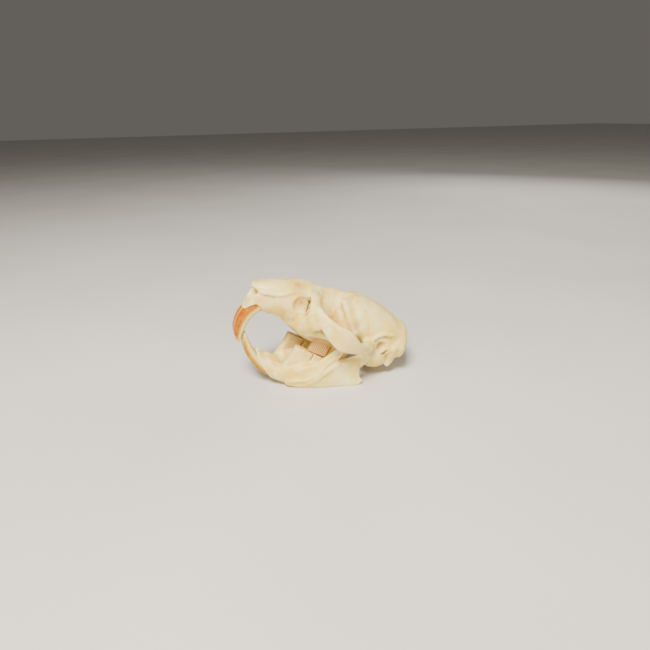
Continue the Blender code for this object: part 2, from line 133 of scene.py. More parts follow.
def rounded_ends(rows: Array, bulge: float) -> Array:
    """The rows with shrinking ones past each end, so that the tube ends in domes.

    A dome's ring at the angle a stands sin a past the end and is cos a as wide, both times the smaller half
    size of the end, with the outward part also times bulge.

    Args:
        rows: The tube's rows.
        bulge: How far a dome stands out, as a share of the end's smaller half size.

    Returns:
        The longer array of rows.
    """
    angles = np.radians((20.0, 40.0, 58.0, 72.0, 83.0))
    ends = []
    for end, inner in ((rows[0], rows[1]), (rows[-1], rows[-2])):
        step = (end - inner)[:3]
        reach = bulge * np.sin(angles) * min(end[3], end[4]) / np.linalg.norm(step)
        ends.append(np.hstack([end[:3] + reach[:, None] * step, np.cos(angles)[:, None] * end[3:5]]))
    return np.vstack([ends[0][::-1], rows, ends[1]])


def limb(
    stations: Rows,
    rings: int = 40,
    sides: int = 32,
    power: float = 2.0,
    up: tuple[float, float, float] = UP,
    bulge: float = 1.0,
    ease: float = 0.0,
) -> Body:
    """A tube of superellipses carried along a smooth path.

    A section's point at the turn a is centre + side * w * sgn(cos a)|cos a|^(2/p) + tall * d *
    sgn(sin a)|sin a|^(2/p), with side square to the path and to up, and tall square to both.

    Args:
        stations: Rows of x, y, z, half width and half depth.
        rings: Sections along the path.
        sides: Points round a section.
        power: 2 is an ellipse, and more is squarer.
        up: The direction that the half depth leans to.
        bulge: How far the end domes stand out.
        ease: Added to both half sizes.

    Returns:
        The closed surface.
    """
    rows = smooth_rows(stations, rings)
    rows[:, 3:5] += ease
    rows = rounded_ends(rows, bulge)
    ahead = np.gradient(rows[:, :3], axis=0)
    ahead /= np.linalg.norm(ahead, axis=1, keepdims=True)
    side = np.cross(ahead, np.array(up))
    side /= np.linalg.norm(side, axis=1, keepdims=True)
    tall = np.cross(side, ahead)
    turn = 2 * np.pi * np.arange(sides) / sides
    wide = np.sign(np.cos(turn)) * np.abs(np.cos(turn)) ** (2 / power)
    deep = np.sign(np.sin(turn)) * np.abs(np.sin(turn)) ** (2 / power)
    across = side[:, None] * (rows[:, 3, None] * wide)[..., None]
    along = tall[:, None] * (rows[:, 4, None] * deep)[..., None]
    return tube(rows[:, None, :3] + across + along)


def tube(grid: Array) -> Body:
    """Closes a grid of rings into a body, with a fan to each end ring's middle.

    Args:
        grid: Rings by sides by three, whose rings turn right-handed about the direction that they run in.

    Returns:
        The closed surface.
    """
    rings, sides = grid.shape[:2]
    points = np.vstack([grid.reshape(-1, 3), grid[0].mean(0), grid[-1].mean(0)])
    index = np.arange(rings * sides).reshape(rings, sides)
    after = np.roll(index, -1, axis=1)
    quads = np.stack([index[:-1], index[1:], after[1:], after[:-1]], -1).reshape(-1, 4)
    first = np.full(sides, rings * sides)
    fans = [np.stack([index[0], after[0], first], -1), np.stack([after[-1], index[-1], first + 1], -1)]
    return Body(points, quads, np.vstack(fans))


def ball(at: tuple[float, float, float], radii: tuple[float, float, float]) -> Body:
    """An ellipsoid from its centre and half axes, as a limb whose sections follow a circle."""
    angle = np.linspace(-0.48 * np.pi, 0.48 * np.pi, 25)
    turn = 2 * np.pi * np.arange(32) / 32
    x = np.sin(angle)[:, None] * np.ones(32)
    y = np.cos(angle)[:, None] * np.cos(turn)
    z = np.cos(angle)[:, None] * np.sin(turn)
    return tube(np.stack([x, y, z], -1) * radii + at)


def smooth_min(a: Array, b: Array, blend: float) -> Array:
    """The smaller of two distances, with the corner between them filled over the blend's width."""
    near = np.maximum(blend - np.abs(a - b), 0.0) / max(blend, 1e-6)
    return np.minimum(a, b) - near * near * blend * 0.25


def box_blur(block: Array, reach: int) -> Array:
    """The mean over a cube that reaches this many voxels each way, by running sums along each axis."""
    for axis in range(3):
        pad = [(reach + 1, reach) if k == axis else (0, 0) for k in range(3)]
        sums = np.cumsum(np.pad(block, pad, mode="edge"), axis=axis, dtype=np.float32)
        size = sums.shape[axis]
        high = np.take(sums, np.arange(2 * reach + 1, size), axis=axis)
        low = np.take(sums, np.arange(0, size - 2 * reach - 1), axis=axis)
        block = (high - low) / (2 * reach + 1)
    return block


def eased(value: Array, low: float, high: float) -> Array:
    """0 below low, 1 above high, and a smooth step between them."""
    u = np.clip((value - low) / (high - low), 0, 1)
    return u * u * (3 - 2 * u)


class Clay:
    """A block of voxels holding a distance field, negative inside the bone, that bodies are melted into."""

    def __init__(self, low: tuple[float, ...], high: tuple[float, ...], voxel: float) -> None:
        """Starts empty.

        Args:
            low: The block's lowest corner.
            high: Its highest corner.
            voxel: The edge of a voxel.
        """
        self.voxel = voxel
        self.base = np.floor(np.array(low) / voxel).astype(int)
        self.shape = np.ceil(np.array(high) / voxel).astype(int) - self.base + 1
        self.field = np.full(self.shape, BAND * voxel, np.float32)
        self.transform = openvdb.createLinearTransform(voxelSize=voxel)

    def _distance(self, body: Body) -> tuple[tuple[slice, ...], Array]:
        """The body's distance field and the part of the block that it covers."""
        grid = openvdb.FloatGrid.createLevelSetFromPolygons(
            body.points.astype(np.float32),
            triangles=body.tris.astype(np.uint32),
            quads=body.quads.astype(np.uint32),
            transform=self.transform,
            halfWidth=BAND,
        )
        low, high = grid.evalActiveVoxelBoundingBox()
        low = np.maximum(low, self.base)
        high = np.minimum(high, self.base + self.shape - 1)
        block = np.empty(high - low + 1, np.float32)
        grid.copyToArray(block, ijk=tuple(int(v) for v in low))
        return tuple(slice(a, b) for a, b in zip(low - self.base, high - self.base + 1)), block

    def add(self, bodies: list[Body], blend: float) -> None:
        """Melts bodies into the block, with fillets about as wide as the blend."""
        for body in bodies:
            region, block = self._distance(body)
            self.field[region] = smooth_min(self.field[region], block, blend)

    def carve(self, bodies: list[Body], blend: float) -> None:
        """Melts bodies out of the block, with the rims rounded over the blend."""
        for body in bodies:
            region, block = self._distance(body)
            self.field[region] = -smooth_min(-self.field[region], block, blend)

    def axes(self) -> list[Array]:
        """The voxels' x, y and z, each shaped to spread over the block."""
        lines = [(np.arange(n) + b) * self.voxel for n, b in zip(self.shape, self.base)]
        return list(np.meshgrid(*lines, indexing="ij", sparse=True))

    def roughen(self, depth: float, wave: float) -> None:
        """Adds slow lumps, the sum of three crossed sine products, this deep and about this wide."""
        x, y, z = (2 * np.pi * axis / wave for axis in self.axes())
        lumps = np.sin(x + 0.7 * y) * np.sin(0.9 * z - 0.4 * x + 1.3)
        lumps = lumps + np.sin(1.7 * y + 0.8 * z + 0.6) * np.sin(1.3 * x - 0.5 * z)
        lumps = lumps + 0.6 * np.sin(2.9 * x + 1.1 * z + 2.0) * np.sin(2.3 * y - 1.9 * x)
        self.field += (depth / 2.6) * lumps.astype(np.float32)

    def fill(self, reach: float) -> Array:
        """How full of bone the cube round each voxel is, 0 to 1: over 0.5 in hollows, under on edges."""
        solid = np.clip(0.5 - self.field / (2 * self.voxel), 0, 1)
        return box_blur(box_blur(solid, round(reach / self.voxel)), round(reach / self.voxel))

    def read(self, block: Array, points: Array) -> Array:
        """The block's values at points, by trilinear mixing of the eight voxels round each."""
        place = points / self.voxel - self.base
        cell = np.clip(np.floor(place).astype(int), 0, self.shape - 2)
        part = place - cell
        total = np.zeros(len(points), np.float32)
        for corner in np.ndindex(2, 2, 2):
            share = np.prod(np.where(corner, part, 1 - part), axis=1)
            total += share * block[tuple((cell + corner).T)]
        return total

    def surface(self) -> Body:
        """The zero surface as a mesh, with only its largest connected piece kept."""
        grid = openvdb.FloatGrid(BAND * self.voxel)
        grid.gridClass = openvdb.GridClass.LEVEL_SET
        grid.transform = self.transform
        grid.copyFromArray(self.field, ijk=tuple(int(v) for v in self.base))
        points, quads = grid.convertToQuads(isovalue=0.0)
        body = Body(points.astype(float), quads.astype(int), np.zeros((0, 3), int))
        return relaxed(largest(outward(body)), 2)


def outward(body: Body) -> Body:
    """Turns all faces round if the volume that they enclose comes out negative."""
    a, b, c, d = (body.points[body.quads[:, k]] for k in range(4))
    volume = np.einsum("ij,ij->", a, np.cross(b, c)) + np.einsum("ij,ij->", a, np.cross(c, d))
    return body if volume > 0 else Body(body.points, body.quads[:, ::-1], body.tris[:, ::-1])


def largest(body: Body) -> Body:
    """Only the connected piece with the most faces, found by spreading the lowest label along edges."""
    label = np.arange(len(body.points))
    while True:
        lowest = label[body.quads].min(1)
        new = label.copy()
        np.minimum.at(new, body.quads, lowest[:, None])
        new = new[new]
        if np.array_equal(new, label):
            break
        label = new
    names, counts = np.unique(label[body.quads[:, 0]], return_counts=True)
    kept = body.quads[label[body.quads[:, 0]] == names[counts.argmax()]]
    used = np.unique(kept)
    index = np.zeros(len(body.points), int)
    index[used] = np.arange(len(used))
    return Body(body.points[used], index[kept], body.tris)


def relaxed(body: Body, times: int) -> Body:
    """Moves each point half way to the mean of its neighbours, out and back, which evens voxel steps."""
    ends = np.concatenate([body.quads[:, [k, (k + 1) % 4]] for k in range(4)])
    count = np.bincount(ends[:, 0], minlength=len(body.points))[:, None]
    points = body.points
    for share in (RELAX_OUT, RELAX_BACK) * times:
        mean = np.stack([
            np.bincount(ends[:, 0], weights=points[ends[:, 1], k], minlength=len(points)) for k in range(3)
        ], -1) / count
        points = points + share * (mean - points)
    return Body(points, body.quads, body.tris)


def spread(points: Array, spots: Spots) -> Array:
    """How strongly soft round spots tint each point, 0 to 1.

    Args:
        points: The surface's points.
        spots: Rows of x, y, z, radius and strength, each fading as a bell curve of its radius.

    Returns:
        The strongest spot's tint at each point.
    """
    total = np.zeros(len(points))
    for x, y, z, radius, strength in spots:
        away = np.linalg.norm(points - (x, y, z), axis=1) / radius
        total = np.maximum(total, strength * np.exp(-away * away))
    return total


def trail(path: Spots, radius: float, strength: float) -> Spots:
    """Spots of this radius and strength, set close together along a path of corners."""
    corners = np.array(path, float)
    at = np.concatenate([[0], np.cumsum(np.linalg.norm(np.diff(corners, axis=0), axis=1))])
    wanted = np.linspace(0, at[-1], int(at[-1] / radius) + 2)
    places = np.stack([np.interp(wanted, at, corners[:, k]) for k in range(3)], -1)
    return tuple((*place, radius, strength) for place in places)


def skull_matrix() -> Matrix:
    """From the level upper skull's frame to the posed one, in metres."""
    return Matrix.Translation(Vector(SKULL_AT) * MM) @ Matrix.Rotation(math.radians(SKULL_TILT), 4, "Y")


def jaw_matrix() -> Matrix:
    """From the jaw's frame to the posed one, in metres."""
    return Matrix.Translation(Vector(JAW_AT) * MM)


def new_piece(
    name: str, body: Body, tints: dict[str, Array], place: Matrix, finish: Finish
) -> Piece:
    """A piece of the skull as an object at the origin, riding on the root body.

    Args:
        name: The piece's name.
        body: Its surface, in millimetres in its own frame.
        tints: Point attributes, 0 to 1, that its finish reads.
        place: The move from its frame to the skull's pose.
        finish: The material class to dress it with.

    Returns:
        The new object.
    """
    turn = np.array(place)
    points = (body.points * MM) @ turn[:3, :3].T + turn[:3, 3]
    mesh = bpy.data.meshes.new(name)
    mesh.from_pydata(points, [], body.faces())
    for tint, values in tints.items():
        layer = mesh.attributes.new(tint, "FLOAT", "POINT")
        layer.data.foreach_set("value", np.clip(values, 0, 1).astype(np.float32))
    mesh.validate()
    mesh.shade_smooth()
    piece = bpy.data.objects.new(name, mesh)
    bpy.context.scene.collection.objects.link(piece)
    mesh.materials.append(finish.material())
    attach(piece, "root")
    log.info("%s: %d faces", name, len(mesh.polygons))
    return piece


def linear(colour: str) -> tuple[float, float, float, float]:
    """An sRGB hex colour as linear light."""
    values = [int(colour[k:k + 2], 16) / 255 for k in (1, 3, 5)]
    return (*[v / 12.92 if v <= 0.04045 else ((v + 0.055) / 1.055) ** 2.4 for v in values], 1.0)


@dataclass
class Finish:
    """A material whose nodes are built once and then shared."""

    slot: Slot = Slot.BONE
    made: bpy.types.Material | None = None
    tree: bpy.types.NodeTree | None = None

    def material(self) -> bpy.types.Material:
        """The Blender material, made on first use."""
        if self.made is None:
            self.made = bpy.data.materials.new(type(self).__name__)
            self.made.use_nodes = True
            self.tree = self.made.node_tree
            self.build(self.tree.nodes["Principled BSDF"])
        return self.made

    def node(self, kind: str, inputs: dict | None = None, **settings: object) -> bpy.types.Node:
        """Adds a shader node.

        Args:
            kind: The node's type name.
            inputs: Values, or output sockets to link, by socket name or number.
            settings: The node's own properties.

        Returns:
            The new node.
        """
        made = self.tree.nodes.new(kind)
        for key, value in settings.items():
            setattr(made, key, value)
        self.plug(made, inputs or {})
        return made

    def plug(self, made: bpy.types.Node, inputs: dict) -> None:
        """Links each input that is given as a socket, and sets each other one on the node's own socket."""
        for key, value in inputs.items():
            if isinstance(value, Socket):
                self.tree.links.new(value, made.inputs[key])
            else:
                made.inputs[key].default_value = value

    def build(self, shader: bpy.types.Node) -> None:
        """Adds the finish's nodes before the shader."""
        raise NotImplementedError

    def tint(self, name: str) -> Socket:
        """The value of a point attribute."""
        return self.node("ShaderNodeAttribute", attribute_name=name).outputs["Fac"]

    def mix(self, share: object, below: object, above: object) -> Socket:
        """Lays one colour over another.

        Args:
            share: How much of the upper colour shows, a number or a socket.
            below: The lower colour, a hex colour or a socket.
            above: The upper colour, a hex colour or a socket.

        Returns:
            The mixed colour.
        """
        colours = [linear(c) if isinstance(c, str) else c for c in (below, above)]
        made = self.node("ShaderNodeMix", {0: share, 6: colours[0], 7: colours[1]}, data_type="RGBA")
        return made.outputs[2]

    def noise(self, size: float, detail: float, low: float, high: float) -> Socket:
        """A soft mottling, 0 to 1.

        Args:
            size: The mottles' size in millimetres.
            detail: How many finer layers it has.
            low: The noise value that becomes 0.
            high: The noise value that becomes 1.

        Returns:
            The mottling as a value.
        """
        place = self.node("ShaderNodeTexCoord").outputs["Object"]
        inputs = {"Vector": place, "Scale": 1 / (size * MM), "Detail": detail}
        noise = self.node("ShaderNodeTexNoise", inputs)
        inputs = {"Value": noise.outputs["Fac"], "From Min": low, "From Max": high}
        return self.node("ShaderNodeMapRange", inputs, interpolation_type="SMOOTHSTEP").outputs["Result"]

    def times(self, a: object, b: object) -> Socket:
        """Two values multiplied."""
        return self.node("ShaderNodeMath", {0: a, 1: b}, operation="MULTIPLY").outputs[0]

    def between(self, value: Socket, low: float, high: float) -> Socket:
        """A value of 0 to 1 brought to between low and high."""
        inputs = {"Value": value, "To Min": low, "To Max": high}
        return self.node("ShaderNodeMapRange", inputs).outputs["Result"]

    def bump(self, size: float, depth: float, under: Socket | None = None) -> Socket:
        """Fine relief of this size and depth in millimetres, over another relief if one is given."""
        height = self.noise(size, 3.0, 0.3, 0.7)
        inputs = {"Height": height, "Strength": 1.0, "Distance": depth * MM}
        if under is not None:
            inputs["Normal"] = under
        return self.node("ShaderNodeBump", inputs).outputs["Normal"]


@dataclass
class DryBone(Finish):
    """Cleaned, dried bone: ivory and a little translucent, so thin edges glow warm and thick walls look
    chalky. Its ridges carry painted highlight, and its hollows painted shade in honey and dark brown, beside
    the bone's own stains and seams."""

    # The chalky white is also laid as painted highlight on ridges and edges; the honey is a real stain and
    # also painted shade in wide hollows; the reddish brown is painted shade above the upper molars; the
    # darkest brown is painted shade in pits, crevices and openings, and the colour of the seams.
    ivory: str = "#F0D468"
    chalk_and_highlight: str = "#F8E9A6"
    straw: str = "#E6C23A"
    honey_and_shade: str = "#C28C10"
    molar_wall_shade: str = "#8A5008"
    rose: str = "#F0BE70"
    crevice_shade_and_seam: str = "#5E3C0E"

    def build(self, shader: bpy.types.Node) -> None:
        """Mottled ivory, then the tints that the surface carries: stains, seams, painted highlight and
        painted shade.
        """
        colour = self.mix(self.noise(5.0, 2.0, 0.38, 0.62), self.ivory, self.chalk_and_highlight)
        patches = self.times(self.noise(3.2, 3.0, 0.46, 0.66), 0.55)
        colour = self.mix(patches, colour, self.straw)
        patches = self.times(self.noise(4.4, 2.0, 0.55, 0.72), 0.4)
        colour = self.mix(patches, colour, self.rose)
        for name in TINTS:
            broken = self.between(self.noise(1.6, 4.0, 0.3, 0.7), 0.65, 1.0)
            share = self.times(self.tint(name), broken)
            colour = self.mix(share, colour, getattr(self, name))
        rough = self.between(self.noise(1.1, 3.0, 0.3, 0.7), 0.38, 0.58)
        grain = self.bump(0.7, 0.035, self.bump(3.5, 0.08))
        self.plug(shader, {
            "Base Color": colour, "Roughness": rough, "Normal": grain, "IOR": 1.53,
            "Subsurface Weight": 0.25, "Subsurface Radius": (1.0, 0.62, 0.34), "Subsurface Scale": 1.2 * MM,
        })


@dataclass
class Enamel(Finish):
    """An incisor: hard glossy enamel stained by iron on the front, over cream dentine behind."""

    bright: str = "#B46A00"
    deep: str = "#9C5000"
    # The edge colour is a painted highlight along the enamel's edges.
    edge: str = "#DC9C18"
    dentine: str = "#EED080"
    tip: str = "#F2DC96"

    def build(self, shader: bpy.types.Node) -> None:
        """Orange that deepens in the middle of the face, a pale rim of painted highlight along its edges, and
        cream sides and tip.
        """
        enamel = self.mix(self.noise(1.4, 3.0, 0.35, 0.65), self.bright, self.deep)
        enamel = self.mix(self.tint("rim_highlight"), enamel, self.edge)
        colour = self.mix(self.tint("enamel"), self.dentine, enamel)
        colour = self.mix(self.tint("tip"), colour, self.tip)
        self.plug(shader, {
            "Base Color": colour, "Normal": self.bump(1.2, 0.04), "Roughness": 0.30, "IOR": 1.5,
            "Specular IOR Level": 0.2, "Subsurface Weight": 0.02, "Subsurface Radius": (1.0, 0.5, 0.2),
            "Subsurface Scale": 0.8 * MM,
        })


@dataclass
class RidgedTooth(Finish):
    """A cheek tooth: folded walls of pale enamel, with painted shade in the grooves between folds."""

    # The groove tan and the dark stain colour are painted shade: in the grooves between folds, and over rows
    # that lie in shadow.
    wall: str = "#F4DC8C"
    groove: str = "#AC7434"
    rose: str = "#F0C670"
    side_shade: str = "#8A4A18"

    def build(self, shader: bpy.types.Node) -> None:
        """Cream walls, with painted shade in tan in the grooves and in dark brown over rows that lie in
        shadow.
        """
        patches = self.times(self.noise(2.0, 2.0, 0.4, 0.7), 0.6)
        colour = self.mix(patches, self.wall, self.rose)
        colour = self.mix(self.tint("groove"), colour, self.groove)
        colour = self.mix(self.tint("side_shade"), colour, self.side_shade)
        grain = self.bump(0.7, 0.05)
        self.plug(shader, {"Base Color": colour, "Normal": grain, "Roughness": 0.36, "IOR": 1.6})


@dataclass
class UpperSkull:
    """The upper skull's bone: snout, roof, orbits, cheek arches, braincase, ear bulbs and neck."""

    finish: DryBone
    voxel: float = 0.3
    block: Rows = ((-20, -22, -7), (44, 22, 21))  # the corners of the block of voxels
    # Balls, each as its middle and its radii.
    neck_side: Rows = ((33.4, -10.6, 5.2), (2.6, 2.4, 2.8))
    ear_bulb: Rows = ((29.4, -8.4, 1.2), (6.3, 4.9, 5.2))
    neck_knob: Rows = ((40.3, -3.8, 3), (2.2, 2.1, 2.9))
    window_pocket: Rows = ((-1.6, -7.6, 12.7), (3.6, 2.6, 3.6))
    ear_dish: Rows = ((29.6, -13.7, 5.8), (2.3, 2.7, 2.1))
    # Limbs, each as stations of x, y, z, half width and half depth.
    snout: Rows = (
        (-16.9, 0, 7.2, 3.6, 2.9), (-15.3, 0, 9.4, 4.6, 5), (-11, 0, 11.4, 5.5, 5.8),
        (-6.5, 0, 11.7, 6.1, 6.6), (-3.8, 0, 11.6, 6.4, 7.1), (-0.6, 0, 11.2, 5.3, 7.8),
        (4, 0, 10.6, 4.4, 8.2),
    )
    nasals: Rows = (
        (-18, 0, 14.2, 3, 0.9), (-14.2, 0, 14.6, 4.4, 2), (-8, 0, 15.8, 4.6, 2.2), (-2, 0, 17.1, 4.4, 2.2),
    )
    orbit_wall: Rows = (
        (-3, 0, 12, 6.6, 7.4), (1, 0, 12.2, 5.8, 7.4), (5, 0, 12.2, 3.3, 6.7), (9.5, 0, 12, 2.9, 6.8),
        (13.5, 0, 11.8, 4.4, 7), (18, 0, 11.6, 8, 7.2),
    )
    braincase: Rows = (
        (13.5, 0, 12.2, 7.4, 6.4), (16.5, 0, 11.7, 10.2, 7.4), (21, 0, 11.4, 11.6, 8),
        (27, 0, 10.8, 12.2, 7.6), (32.5, 0, 9.5, 12.6, 6.9), (36.4, 0, 8.4, 12.2, 6.1),
        (39.4, 0, 7.4, 9.8, 5),
    )
    palate: Rows = (
        (-4, 0, 5.6, 4, 1.8), (0, 0, 4.6, 5.6, 3.2), (4, 0, 3.8, 7.6, 3.8), (10, 0, 3.2, 8.2, 4.2),
        (16, 0, 2.6, 8, 4.4), (21, 0, 2.4, 6.4, 3.6),
    )
    base: Rows = ((18, 0, 5, 6, 4), (26, 0, 4, 6, 4), (34, 0, 3.6, 6.6, 3.8), (39.4, 0, 4, 5.4, 3.2))
    back: Rows = (
        (37.4, -12.2, 5, 1.9, 3.2), (38.4, -9, 7, 2.1, 5.2), (39.3, -4, 8.4, 2.2, 5.6),
        (39.6, 0, 8.8, 2.3, 5.4), (39.3, 4, 8.4, 2.2, 5.6), (38.4, 9, 7, 2.1, 5.2),
        (37.4, 12.2, 5, 1.9, 3.2),
    )
    maxilla: Rows = ((3, -6.3, 5.4, 1.9, 2.2), (8, -6.8, 4.3, 2.1, 2.4), (14, -7.2, 3.2, 1.8, 2.2))
    cheek_plate: Rows = (
        (0.4, -4.5, 5.2, 2.4, 2.6), (0.6, -7.5, 6, 1.9, 2.9), (1, -10.4, 7.8, 1.7, 3),
        (2, -13.4, 9.8, 1.6, 3), (3.4, -16, 11.4, 1.3, 2.6),
    )
    cheek_wall: Rows = (
        (-0.6, -10.9, 8.4, 1.2, 0.9), (-0.1, -12.6, 11, 1.3, 0.9), (0.4, -13, 13.2, 1.5, 0.9),
        (0.9, -11.8, 15.2, 1.6, 1),
    )
    cheek_root: Rows = (
        (1.8, -4, 16.6, 2.2, 1.4), (1.6, -8, 16.3, 1.9, 1.4), (1.3, -10.8, 15.3, 1.7, 1.3),
        (1.5, -13.2, 13.9, 1.6, 1.4), (2.6, -15.6, 12.5, 1.7, 1.3),
    )
    arch: Rows = (
        (1.6, -14.3, 13.8, 1.3, 1.7), (4.2, -17.2, 11.5, 1.2, 2.2), (7.7, -19, 9.2, 1.1, 3.1),
        (11.7, -19.8, 7.6, 1.05, 3.9), (15.6, -19.6, 6.9, 1.05, 3.5), (19.4, -18.2, 5.7, 1.1, 2.3),
        (22.8, -15.4, 5.1, 1.3, 1.8), (25.6, -12, 5.8, 1.5, 1.7), (28, -9, 6.6, 1.5, 1.5),
    )
    socket_root: Rows = ((26.8, -9.2, 6.8, 2.8, 2), (25, -11.9, 5.6, 2.2, 1.5), (22.8, -15.2, 5, 1.8, 1.2))
    orbit_crest: Rows = (
        (13.6, -6.2, 17, 1.6, 1.1), (14.9, -8.2, 14.6, 1.8, 1.2), (16.4, -9.6, 11.6, 1.8, 1.1),
        (18.8, -10.8, 8.4, 1.6, 0.9),
    )
    neck_crest: Rows = (
        (34.8, -12.8, 5.6, 1.1, 1.3), (36.2, -11.9, 9.2, 1, 1), (37.6, -8, 12.3, 0.9, 0.9),
        (38.2, 0, 13.6, 0.9, 0.9), (37.6, 8, 12.3, 0.9, 0.9), (36.2, 11.9, 9.2, 1, 1),
        (34.8, 12.8, 5.6, 1.1, 1.3),
    )
    neck_spur: Rows = ((36.2, -10.4, 5, 1.9, 2.4), (35.9, -10.9, 1.8, 1.2, 2), (35.2, -11.1, -1, 0.8, 1.1))
    wing: Rows = ((19.5, -3.6, 1.2, 0.9, 2.6), (23, -3.8, 0.4, 0.7, 2.6), (26.5, -4.6, 0, 0.6, 2))
    ridge: Rows = ((3, 0, 17.6, 1.6, 1.1), (8, 0, 18.1, 1.1, 1), (15, 0, 17.8, 1.4, 1.1))
    ear_tube: Rows = ((29.8, -8.6, 4.4, 3.2, 3.2), (29.9, -12.2, 5, 2.9, 2.9))
    ear_rim: Rows = (
        (25.2, -13, 7.4, 0.7, 0.6), (27.3, -12.4, 9.2, 0.7, 0.6), (29.6, -12.4, 10.5, 0.7, 0.6),
        (32.4, -12.4, 10.6, 0.6, 0.5),
    )
    side_ridge: Rows = (
        (-14.8, -4.5, 13.1, 0.6, 0.5), (-8.9, -5.4, 14.4, 0.7, 0.5), (-5.3, -5.2, 16.4, 0.8, 0.6),
        (0.4, -4.6, 17.6, 0.8, 0.6),
    )
    nostril: Rows = ((-21, 0, 11, 3, 2.1), (-16, 0, 11.4, 2.8, 2.1), (-12, 0, 11.8, 2, 1.5))
    ear_slit: Rows = (
        (30.6, -12.8, 3, 0.35, 1.1), (31.6, -12.7, 3.4, 0.45, 1.2), (32.3, -12.4, 4.6, 0.35, 1),
    )
    ear_groove: Rows = (
        (26.2, -13.4, 7.2, 0.5, 0.6), (28, -13, 8.6, 0.5, 0.7), (29.8, -13, 9.4, 0.5, 0.7),
        (32.2, -12.9, 9.4, 0.5, 0.6),
    )
    nose_notch: Rows = ((-21, 0, 12.3, 7, 1.3), (-17.6, 0, 12.6, 6, 0.8))
    window_slit: Rows = (
        (0.6, -5.2, 14.4, 0.2, 0.9), (1.4, -5, 13.3, 0.35, 1.6), (1, -5, 12.4, 0.2, 1.4),
        (1.5, -5.2, 11.4, 0.3, 1.5), (1, -5.6, 10.2, 0.2, 0.8),
    )
    molar_web: Rows = (
        (1, -7.8, 4.4, 1.7, 1.6), (3.5, -10, 5.2, 1.8, 1.7), (6.5, -11.6, 5.6, 1.7, 1.5),
        (9.5, -14.6, 6, 1.2, 1.2),
    )
    plate_skin: Rows = (
        (-0.4, -8.4, 5.6, 1.6, 1.8), (-0.2, -10.6, 7.4, 1.6, 2), (0.8, -12.4, 9.2, 1.6, 2.2),
        (2, -14.4, 10.6, 1.4, 2.2),
    )
    nose_front: Rows = ((-22.1, -8, 12.2, 3.3, 3.3), (-22.1, 8, 12.2, 3.3, 3.3))
    nose_lip: Rows = ((-17.2, 0, 8.9, 4.3, 1.4), (-18.6, 0, 7.4, 3.9, 0.9), (-19.7, 0, 5.8, 3.2, 0.5))
    arch_cut: Rows = (
        (12.4, -20, 13, 1.1, 3), (15.2, -20, 11, 1.1, 3), (17, -20, 9.7, 1.1, 3), (19, -19.3, 8.3, 1.1, 3),
        (21.2, -18, 7.7, 0.8, 2.5),
    )
    nose_seam: Rows = (
        (-18.4, -2.7, 13.7, 0.3, 0.4), (-17.4, -3.7, 12.9, 0.3, 0.4), (-15.8, -4.7, 12.5, 0.3, 0.4),
        (-14.2, -5.1, 12.6, 0.25, 0.3), (-11.6, -5.6, 12.8, 0.2, 0.25),
    )
    cheek_window: Rows = (
        (-5.4, -10.6, 12.7, 1.6, 2.4), (-3.4, -8.9, 12.7, 2.8, 3.3), (0, -7.9, 12.7, 3, 3.5),
        (3, -7.8, 12.5, 2.6, 3.1), (7, -8.2, 12.4, 2.2, 2.8),
    )
    spine_hole: Rows = ((46, 0, 6.6, 3.2, 2.7), (38.2, 0, 6.2, 2.8, 2.3))
    palate_trough: Rows = ((3, 0, -1.6, 2.9, 2.4), (12, 0, -2.4, 3.2, 3), (24, 0, -2.2, 3, 3))
    palate_slit: Rows = ((-11, -1.2, 5.4, 0.6, 1.6), (-3, -1.2, 3.4, 0.6, 1.6))
